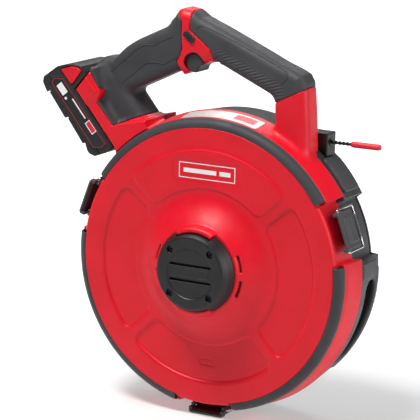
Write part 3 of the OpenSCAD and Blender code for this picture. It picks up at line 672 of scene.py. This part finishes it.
GRIP_AREA = [(-70, 296), (-52, 274), (-51, 241), (-57.5, 226.6), (-53, 210), (-50, 190), (-60, 173),
             (-77, 168), (-109, 157), (-131, 147.6), (-153, 172.5), (-147.5, 185), (-167, 213.8),
             (-184, 236), (-110, 296)]
BAR_AREA = [(-40, 299), (-42.2, 264.5), (-15, 244), (-11, 230), (-6, 205), (40, 180), (60, 188),
            (72.7, 193.6), (104.2, 209.6), (105.1, 219.2), (116, 224.8), (128, 230), (112, 266)]
# Right arm, grip bar, trigger head, pistol grip and leg: the two ends of each bar and its width
BARS = [((90, 100), (85, 230), 43), ((-45, 266.5), (103, 201.2), 38), ((-30, 219), (-54, 292), 46),
        ((-144.6, 203.6), (-46, 250), 52), ((-96.8, 127.6), (-169.3, 215.5), 41)]
# Middle of the trigger, and the direction that it is pulled in
KEY = (-36.5, 227.2)
PULL = (-0.5105, 0.8599)


def trigger_slot(x, z):
    """Distance to the line that the middle of the trigger moves on."""
    t = np.clip((x - KEY[0]) * PULL[0] + (z - KEY[1]) * PULL[1], 0, 6.6)
    return np.hypot(x - KEY[0] - PULL[0] * t, z - KEY[1] - PULL[1] * t)


def handle(p):
    """Outside of the whole handle, covers and foot included, before it is cut to the drum."""
    x, z, h = p[:, 0], p[:, 1], p[:, 2]
    d = None
    for a, b, w in BARS:
        e = slab(x, z, a, b, w)
        d = e if d is None else smin(d, e, 9)
    d = smax(smax(d, poly(x, z, OUTLINE), 4), -poly(x, z, FINGER_CUT), 4)
    # Half the depth: the leg is thicker than the grip
    half = 19 + 4 * step01(z, 222, 196) * step01(x, -70, -95)
    body = rounded(d, np.abs(h - SPLIT) - half, 11.5)
    q = turned(p, -FOOT)
    foot = raised(poly(q[:, 0], q[:, 1], FOOT_OUTLINE), h, 20.7, 95.3, 3)
    return smin(body, foot, 9)


def keep_off_drum(d, p, gap=0.0):
    """Cuts a distance back to the cartridge and to just inside the rim."""
    r = np.hypot(p[:, 0], p[:, 1])
    h = p[:, 2]
    rim = rim_at(np.minimum(h, 94)) - 1.2 + 2.2 * step01(h, 92.6, 94)
    return np.maximum(d, np.where(h < 57.9, 175.7, rim) + gap - r)


def red_handle(p):
    """Red halves: let in below the covers, run out onto the rim, with the bumps and the trigger slot."""
    x, z, h = p[:, 0], p[:, 1], p[:, 2]
    d = handle(p)
    r = np.hypot(x, z)
    rim = np.maximum(np.maximum((r - rim_at(h)) * 0.99 + 0.25, h - 93.2), SPLIT + 0.2 - h)
    d = np.maximum(smin(d, rim, 9), d - 11)
    covered = np.minimum(poly(x, z, GRIP_AREA), poly(x, z, BAR_AREA))
    d = d + 2.4 * step01(-covered, -0.2, 0.6)
    q = turned(p, -FOOT)
    for side in (-1, 1):
        bump = raised(poly(q[:, 0], q[:, 1], FOOT_BUMP), side * (h - SPLIT), 30, 38.8, 1.6)
        d = smin(d, bump, 0.8)
    slot = np.maximum(trigger_slot(x, z) - 12.1, np.abs(h - SPLIT) - 15.6)
    d = smax(d, -np.minimum(slot, np.hypot(x - KEY[0], z - KEY[1]) - 12.1), 1)
    return keep_off_drum(d, p)


def cover_field(area):
    """Skin 3.2 mm thick over the part of the handle inside the area."""
    def field(p):
        outside = handle(p)
        region = poly(p[:, 0], p[:, 1], area)
        d = smax(outside + 0.1, region + 0.35, 1.6)
        d = np.maximum(d, -(outside + 3.2))
        d = smax(d, 12.3 - trigger_slot(p[:, 0], p[:, 1]), 1)
        return keep_off_drum(d, p, 1.0)
    return field


def handle_pieces():
    """Red halves and the two soft covers."""
    fine = 1.1
    add("handle_shell", net(red_handle, (-190, 88, 17), (122, 294, 99), fine), RED,
        nodes=["handle_front", "handle_rear"])
    add("grip_skin", net(cover_field(GRIP_AREA), (-190, 140, 17), (-40, 292, 99), fine), SOFT,
        nodes=["grip_cover"])
    add("bar_skin", net(cover_field(BAR_AREA), (-42, 176, 34), (118, 292, 82), fine), GRIP,
        nodes=["bar_cover"])


def trigger():
    """Round key with a hollow for the finger."""
    def field(p):
        hollow = (KEY[0] + 11, KEY[1] - 9.5)
        d = rod(p, (*KEY, 43.1), (*KEY, 72.9), 11.4, 2.5)
        return smax(d, -rod(p, (*hollow, 30), (*hollow, 90), 7), 2.5)
    add("trigger_key", net(field, (-50, 214, 41), (-23, 241, 75), 0.6), SOFT, body="trigger",
        nodes=["trigger"])


def selector():
    """Slanted key with three grooves."""
    def field(p):
        q = turned(p - (-41.7, 256.5, 0), 38)
        d = raised(rounded(np.abs(q[:, 0]) - 8, np.abs(q[:, 1]) - 4, 2.6), p[:, 2], 37, 79, 1)
        for k in (-3, 0, 3):
            d = smax(d, -(np.maximum(np.abs(q[:, 0] - k) - 0.5, 78 - p[:, 2])), 0.4)
        return d
    add("selector_key", net(field, (-53, 246, 35), (-31, 267, 81), 0.6), BLACK, body="selector",
        nodes=["selector"])


def on_front(line):
    """Line raised onto the handle's front surface."""
    h = np.full(len(line), 100.0)
    for _ in range(60):
        h = h - np.clip(handle(np.column_stack([line, h])), -3, 6) * 0.7
    return np.column_stack([line, h])


def smooth_line(pts, n):
    """Line of n evenly spaced points through pts, with softened corners."""
    pts = np.array(pts, float)
    t = np.concatenate([[0], np.cumsum(np.linalg.norm(np.diff(pts, axis=0), axis=1))])
    s = np.linspace(0, t[-1], n)
    line = np.stack([np.interp(s, t, pts[:, k]) for k in (0, 1)], 1)
    for _ in range(3):
        line[1:-1] = (line[:-2] + 2 * line[1:-1] + line[2:]) / 4
    return line


def panel_lines():
    """Fine raised lines of the soft covers, laid on their surface."""
    lines = {"grip_upper": [(-143, 208), (-128, 222), (-112, 236), (-100, 243), (-88, 243), (-76, 250),
                            (-62, 256)],
             "grip_lower": [(-128, 196), (-112, 209), (-98, 222), (-88, 224), (-74, 223), (-60, 231),
                            (-52, 236)],
             "bar_upper": [(-31.5, 266.6), (-31.3, 270.4), (-24.3, 270.6), (2.8, 260.8), (42.4, 244.8),
                           (82.4, 227.3), (84.5, 221.8), (75.8, 214.4)]}
    for name, pts in lines.items():
        add(f"line_{name}", sweep(on_front(smooth_line(pts, 60)), 0.55), GRIP)


# ---- latches ----

def latches():
    """Grooved lever and wire bail of each latch, drawn for a latch at nought degrees."""
    def lever(p):
        d = box(p, (173.8, -20.8, 61.2), (177.3, 20.8, 93.2), 1)
        d = smin(d, box(p, (175.1, -20.8, 90.8), (178.3, 20.8, 96.2), 1.1), 1.2)
        d = smin(d, box(p, (176.4, -14.5, 64.6), (178.1, 14.5, 87.2), 0.7), 0.5)
        for y in (-19.5, 19.5):
            d = np.minimum(d, box(p, (167.2, y - 1.5, 61.6), (175, y + 1.5, 90.2), 0.8))
        for y in (-20.5, 20.5):
            d = smin(d, box(p, (171, y - 2.1, 88), (177.6, y + 2.1, 94.8), 0.9), 1)
        d = np.minimum(d, rod(p, (169.5, -12.3, 64), (169.5, 12.3, 64), 3.6, 0.4))
        d = np.minimum(d, box(p, (169.5, -12.3, 61.5), (175, 12.3, 66.3), 0.3))
        for h in (84.2, 87.2):
            d = smax(d, -box(p, (177.2, -17.5, h - 0.55), (180, 17.5, h + 0.55), 0.2), 0.35)
        for h in (70, 79):
            d = smax(d, -box(p, (177.5, -13, h - 0.6), (180, 13, h + 0.6), 0.2), 0.3)
        d = smax(d, -rod(p, (169.5, -25, 64), (169.5, 25, 64), 2.06), 0.2)
        return d
    shape = net(lever, (165.5, -24, 59.5), (180, 24, 98), 0.55)
    corners = [(16.5, 85), (24.5, 85), (24.5, 46.5), (-24.5, 46.5), (-24.5, 85), (-16.5, 85)]
    wire = bent([(171.5, *corner) for corner in corners], 3)
    for name, phi in LATCHES.items():
        add(f"latch_{name}", shape, GREY, body=f"lever_{name}", nodes=[f"lever_{name}"], phi=phi)
        add(f"wire_{name}", sweep(wire, 1.48), BRIGHT, body=f"bail_{name}", nodes=[f"bail_{name}"], phi=phi)


# ---- cartridge ----

def cart_at(h):
    """Radius of the tapered cartridge."""
    return 170.5 + (h - 4) * 4 / 53.5


# Start and end angle of each latch's recess
RECESSES = [(6.2, 30.5), (149.5, 170.5), (259.5, 280.5)]


def cartridge(p):
    """Cartridge shell, open towards the front."""
    r = np.hypot(p[:, 0], p[:, 1])
    a = np.degrees(np.arctan2(p[:, 1], p[:, 0]))
    h = p[:, 2]
    wall = raised(r - cart_at(h), h, 4.1, 57.5, 1.0)
    inside = np.maximum(r - cart_at(h) + 4.2, np.maximum(h - 54.5, -10))
    d = np.maximum(wall, -inside)

    def across(mid, half):
        return (np.abs(a - mid) - half) * 3.0
    # Beside the right latch a raised bracket, and a raised edge behind the window
    bracket = raised(rounded(across(2.7, 3.2), np.abs(h - 38) - 17.8, 1.2), r, 168, 176.1, 1.0)
    edge = raised(rounded(across(-22.2, 23.7), np.abs(h - 7.7) - 3.2, 0.5), r, 166, 171.9, 0.5)
    d = smin(smin(d, bracket, 0.5), edge, 0.8)
    # Recesses for the wires, with keepers
    for (lo, hi), phi in zip(RECESSES, LATCHES.values()):
        off = (a - (lo + hi) / 2 + 180) % 360 - 180
        half = (hi - lo) / 2
        recess = np.maximum((np.abs(off) - half) * 2.95, 160.2 - r)
        walls = np.maximum(np.maximum((np.abs(off) - half - 1.2) * 2.95, 156 - r),
                           np.maximum(wall, r - 172))
        d = smax(np.minimum(d, walls), -np.maximum(recess, h - 60), 0.8)
        q = turned(p, -phi)
        d = smin(d, box(q, (158, -14, 48.1), (174.3, 14, 51.6), 0.7), 0.8)
        d = smin(d, box(q, (158, -11.5, 51), (165.8, 11.5, 55.8), 0.6), 0.8)
    # Window onto the tape
    window = rounded(across(-21.2, 18.8), np.abs(h - 26) - 14.5, 11)
    d = smax(d, -np.maximum(window, 150 - r), 0.9)
    # Hole that the tape's end and the leader pass through
    return smax(d, -rod(p, (50, LEADER_Z, LEADER_H), (115, LEADER_Z, LEADER_H), 3.7), 0.4)


def cartridge_pieces():
    add("cartridge_body", net(cartridge, (-181, -181, 3), (181, 181, 60), 1.3), GREY,
        nodes=["cartridge_shell", "cartridge_sides", "cartridge_keepers"])

    def plate(p):
        r = np.hypot(p[:, 0], p[:, 1])
        a = np.degrees(np.arctan2(p[:, 1], p[:, 0]))
        d2 = rounded((np.abs(a - 40.2) - 7.3) * 3.05, np.abs(p[:, 2] - 35) - 20.8, 5)
        return raised(d2, r - cart_at(p[:, 2]), -0.4, 177.6 - cart_at(35), 0.9)
    add("exit_cover", net(plate, (112, 90, 12), (156, 136, 58), 0.8), GREY, nodes=["exit_plate"])


def tape_guide():
    """Guide block with ribs, two screws and the hole for the leader."""
    screws = (133.5, 152.6)

    def guide(p):
        d = box(p, (93.2, 129, 16.2), (117, 156.8, 38.4), 1.6)
        d = smin(d, box(p, (88.2, 146.2, 16.2), (100, 156.8, 38.4), 1.4), 1)
        r = np.hypot(p[:, 0], p[:, 1])
        d = np.maximum(d, cart_at(p[:, 2]) + 0.05 - r)
        for z in screws:
            d = smax(d, -rod(p, (106, z, 37), (106, z, 45), 2.6), 0.5)
        for x in (97.5, 101.5):
            d = smax(d, -box(p, (x - 0.5, 120, 37.6), (x + 0.5, 170, 45), 0.2), 0.3)
        return smax(d, -rod(p, (80, LEADER_Z, LEADER_H), (130, LEADER_Z, LEADER_H), 4.5), 0.5)
    add("guide_block", net(guide, (87, 124, 15), (119, 158.5, 40), 0.6), BLACK, nodes=["tape_guide"])
    for k, z in enumerate(screws):
        sharp(add(f"guide_screw_{k}", sweep([(106, z, 36.6), (106, z, 38.1)], 2.2), DARK_STEEL))


def back_cover():
    """Flat rear cover: sloped rim, shallow pockets between eight ribs, ten sunk screw holes."""
    angles = np.linspace(0, 360, 720, endpoint=False)
    radii = np.concatenate([np.arange(0.5, 60, 4), np.arange(60, 64, 0.5), np.arange(64, 144, 2.5),
                            np.arange(144, 170, 0.6)])
    r = radii[:, None] + 0 * angles
    a = np.broadcast_to(angles, r.shape)
    h = np.zeros(r.shape)
    x, z = r * np.cos(np.radians(a)), r * np.sin(np.radians(a))
    off = (a + 22.5) % 45 - 22.5
    rib = np.abs(r * np.sin(np.radians(off))) - 7
    pockets = smax(smax(60 - r, r - 148, 4), -rib, 6)
    h += step01(-pockets, -1.0, 1.0) * 1.2
    h += step01(r, 166.2, 169.9) ** 2 * 3.0
    for s in (0, 42, 82, 105, 138, 184, 215, 245, 292, 314):
        c = math.radians(s)
        away = np.hypot(x - 161.5 * math.cos(c), z - 161.5 * math.sin(c))
        h += step01(away, 3.7, 3.1) * 2.0
    for ring in (30, 44):
        h += np.exp(-((r - ring) / 0.8) ** 2) * 0.6
    for lo, hi in RECESSES:
        out = (a > lo) & (a < hi) & (r > 160)
        r = np.where(out, 160 + (r - 160) * 0.02, r)
    verts, faces = sheet_of(r, h, angles)
    add("rear_cover", (verts, faces[:, ::-1]), GREY, nodes=["cartridge_cover"])


def board():
    """Control board inside the handle's leg, with its parts."""
    def shape(p):
        d = box(p, (-252, -3.6, 38), (-196, -2, 78), 0.3)
        parts = [(s0, 42, s0 + 9, 51, 5) for s0 in (-248, -232, -214)]
        for s0, h0, s1, h1, high in parts + [(-240, 58, -212, 74, 7.5), (-206, 60, -201, 74, 3)]:
            d = np.minimum(d, box(p, (s0, -2.6, h0), (s1, high - 2.6, h1), 0.8))
        return d
    add("board_pieces", net(shape, (-255, -6, 36), (-193, 7, 80), 0.7), BOARD, nodes=["control_board"],
        foot=True)


def reel_pieces():
    """Wound tape: the coil's outside carries the edges of its turns."""
    angles = np.linspace(0, 360, 360, endpoint=False)
    h = np.linspace(10.8, 49.2, 110)
    wave = 0.35 * np.abs(np.sin((h - 10.8) / 3.88 * math.pi)) ** 0.5
    profile = np.array([(124.2, 10.8)] + [(134.9 + w, v) for w, v in zip(wave, h)] + [(124.2, 49.2)])
    wobble = 0.125 * np.sin(np.radians(angles * 3))
    shape = sheet_of(profile[:, :1] + wobble, profile[:, 1:] + 0 * angles, angles)
    add("tape_winding", shape, TAPE, body="reel", nodes=["tape_coil"])


def leader():
    """Twisted two-strand leader and its smooth rubber tip."""
    x = np.linspace(62, 147.5, 240)
    for k in (0, 1):
        turn = 2 * math.pi * x / 9.5 + k * math.pi
        path = np.stack([x, LEADER_Z + 1.08 * np.cos(turn), LEADER_H + 1.08 * np.sin(turn)], 1)
        add(f"leader_strand_{k}", sweep(path, 1.12), CABLE, body="leader", nodes=["leader_cable"])
    # Place along the leader and radius
    profile = np.array([(142.4, 1.9), (142.5, 2.7), (143, 3.05), (144, 3.25), (145.6, 3.5), (146.4, 3.55),
                        (160, 3.55), (174.5, 3.58), (176.2, 3.5), (177.4, 3.15), (178.2, 2.5), (178.5, 1.6),
                        (178.2, 0.9), (177.9, 0.02)])
    x, r = profile[:, :1], profile[:, 1:]
    a = np.linspace(0, 2 * math.pi, 32, endpoint=False)
    verts = np.stack([x + 0 * a, LEADER_Z + r * np.cos(a), LEADER_H + r * np.sin(a)], 2).reshape(-1, 3)
    add("leader_cap", (verts, quads_over(len(profile), 32)), TIP_RED, body="leader", nodes=["leader_tip"])


# ---- battery ----

# Outlines along and across the battery's slide
CASE = [(-294.8, -41.5), (-293.8, -26), (-287.8, -12), (-281, -3.7), (-275.4, 1.8), (-265.6, 2.5),
        (-263.8, 0.9), (-259.6, -21.6), (-177.2, -21.6), (-176.2, -28), (-179.7, -41.5)]
CASE_BASE = [(-294.8, -41.7), (-295.2, -49), (-290.8, -54), (-278, -56.8), (-275.5, -53.9), (-240, -55.4),
             (-237.6, -52.5), (-203, -54.2), (-200.5, -51.7), (-194, -54), (-189, -54), (-182.6, -49.8),
             (-179.8, -41.7)]
BUTTON = [(-288.6, -23.4), (-282.6, -9), (-276.2, -2.2), (-270.4, -0.4), (-265.2, -20.4), (-267, -22.8)]
PANEL = [(-284.5, -45.5), (-287.5, -38), (-279, -26.4), (-184, -26.4), (-183, -34), (-190, -45.5)]


def case_half(p, outline):
    """Case with the labels' sunk panels on both sides, and each point's distance from its middle plane."""
    out = np.abs(p[:, 2] - SPLIT)
    d = rounded(poly(p[:, 0], p[:, 1], outline), out - 37.8, 2.2)
    return smax(d, -np.maximum(poly(p[:, 0], p[:, 1], PANEL), 37.3 - out), 0.4), out


def battery_case():
    """Upper case with its tower, button pockets and the ribs at its end."""
    def field(p):
        d, out = case_half(p, CASE)
        d = np.minimum(d, box(p, (-259.9, -24, 34.2), (-182.7, -10.6, 81.8), 0.8))
        d = smax(d, -np.maximum(poly(p[:, 0], p[:, 1], BUTTON) - 0.5, 31 - out), 0.5)
        for h in range(40, 82, 6):
            d = smax(d, -box(p, (-299, -34, h - 0.8), (-293.4, -10, h + 0.8), 0.2), 0.4)
        return d
    add("battery_case", net(field, (-299, -44, 18), (-172, 6, 98), 0.9), BLACK, body="pack",
        nodes=["pack_top"], foot=True)


def battery_base():
    """Lower case: a sunk band above the edge, between raised corner blocks, and three notches."""
    def field(p):
        s, n = p[:, 0], p[:, 1]
        d, out = case_half(p, CASE_BASE)
        band = np.maximum(np.abs(s + 238) - 41, np.abs(n + 48.6) - 1.2)
        d = smax(d, -np.maximum(band, 36.6 - out), 0.5)
        for k in (-277, -238.8, -201.8):
            d = smax(d, -np.maximum(np.abs(s - k) - 1.1, np.maximum(-n - 70, n + 50.4)), 0.8)
        return d
    add("battery_base", net(field, (-299, -60, 18), (-171, -40, 98), 0.9), BLACK, body="pack",
        nodes=["pack_base"], foot=True)


def release_buttons():
    def key(side):
        def field(p):
            return raised(poly(p[:, 0], p[:, 1], BUTTON) + 0.4, (p[:, 2] - SPLIT) * side, 34.5, 38.7, 1.2)
        return field
    for name, side, lo, hi in (("front", 1, 91, 98), ("rear", -1, 17.5, 25)):
        add(f"button_{name}_key", net(key(side), (-291, -25, lo), (-263, 2, hi), 0.55), RED,
            body=f"button_{name}", nodes=[f"button_{name}"], foot=True)


def labels():
    """Plain label strip on both sides of the battery: a dark glossy film, a red line and blank bars."""
    film = moulded("label_film", (16, 16, 18), (22, 22, 24), 0.22, grain=0.00001, wear=0.0)

    rim = np.array([(-283.4, -44.6), (-286, -38.2), (-278.5, -27.3), (-185, -27.3), (-184.2, -34),
                    (-190.6, -44.6)])
    inner = rim + (rim.mean(0) - rim) * (0.02, 0.07)
    inside = rim + (rim.mean(0) - rim) * (0.027, 0.12)
    bars = ((-276, -262, -40.5, -32), (-259, -256, -40.5, -37.5), (-252, -224, -32.6, -31))

    def strip(name, s0, s1, n0, n1, h, mat):
        add(name, (rectangle(s0, s1, n0, n1, h), [[0, 1, 2, 3]]), mat, body="pack", foot=True)
    for name, h, out in (("front", 95.5, 1), ("rear", 20.5, -1)):
        add(f"label_{name}", (np.column_stack([rim, np.full(6, h)]), [list(range(6))]), film, body="pack",
            foot=True)
        print_h = h + 0.06 * out
        ring = np.column_stack([np.vstack([inner, inside]), np.full(12, print_h)])
        add(f"label_line_{name}", (ring, [[k, (k + 1) % 6, (k + 1) % 6 + 6, k + 6] for k in range(6)]),
            TIP_RED, body="pack", foot=True)
        for k, bar in enumerate(bars):
            strip(f"label_bar_{name}_{k}", *bar, print_h, WHITE)
        strip(f"label_mark_{name}", -219, -205, -35, -29, print_h, TIP_RED)
        strip(f"label_edge_{name}", -220, -204, -36, -28, h + 0.03 * out, WHITE)


# ---- studio ----

def light(name, at, aim, size, power):
    """Rectangular lamp of the size, aimed at a point."""
    lamp = bpy.data.lights.new(name, "AREA")
    lamp.shape, lamp.size, lamp.size_y = "RECTANGLE", size[0], size[1]
    lamp.energy = power
    obj = bpy.data.objects.new(name, lamp)
    bpy.context.scene.collection.objects.link(obj)
    obj.location = at
    obj.rotation_euler = (Vector(aim) - Vector(at)).to_track_quat("-Z", "Y").to_euler()


def floor():
    """Wide pale paper just under the tool."""
    mesh = bpy.data.meshes.new("floor")
    s = 14
    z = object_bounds()[0][2] - 0.0005
    mesh.from_pydata([(-s, -s, z), (s, -s, z), (s, s, z), (-s, s, z)], [], [(0, 1, 2, 3)])
    mat, tree, out = start("floor_paper")
    shade = noise(tree, 3, 2)
    tree.links.new(mix(tree, shade, (0.56, 0.56, 0.56, 1), (0.6, 0.6, 0.6, 1)), out.inputs["Base Color"])
    out.inputs["Roughness"].default_value = 0.9
    out.inputs["Specular IOR Level"].default_value = 0.1
    # The paper glows behind the tool, so that the background is nearly white
    xyz = node(tree, "SeparateXYZ", {0: where(tree)}).outputs
    behind = calc(tree, "ADD", calc(tree, "MULTIPLY", xyz[0], -0.54), xyz[1])
    tree.links.new(spread(tree, behind, -0.2, 1.8, 0.3, 1.0), out.inputs["Emission Strength"])
    out.inputs["Emission Color"].default_value = (1, 1, 1, 1)
    mesh.materials.append(mat)
    obj = bpy.data.objects.new("floor", mesh)
    bpy.context.scene.collection.objects.link(obj)
    obj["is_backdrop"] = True


def studio():
    """Floor, weak even light from all round, and three lamps."""
    floor()
    world = bpy.data.worlds.new("studio")
    bpy.context.scene.world = world
    world.use_nodes = True
    background = world.node_tree.nodes["Background"]
    background.inputs["Color"].default_value = (1, 1, 1, 1)
    background.inputs["Strength"].default_value = 0.14
    light("key", (-0.5, -0.95, 2.3), (0, 0, 0.1), (0.9, 0.6), 69)
    light("side", (2.0, -0.1, 0.7), (0.1, -0.05, 0.0), (0.6, 1.3), 20)
    light("back", (-0.6, 1.3, 1.5), (0, -0.05, 0.1), (1.0, 0.8), 12)
    view = bpy.context.scene.view_settings
    view.view_transform = "Standard"
    view.look = "None"


finish_nodes()
base_shell()
painted_vent_sheets()
pocket_walls()
bumpers()
hub()
badge()
rim_label()
handle_pieces()
trigger()
selector()
panel_lines()
latches()
cartridge_pieces()
tape_guide()
back_cover()
board()
reel_pieces()
leader()
battery_case()
battery_base()
release_buttons()
labels()
studio()
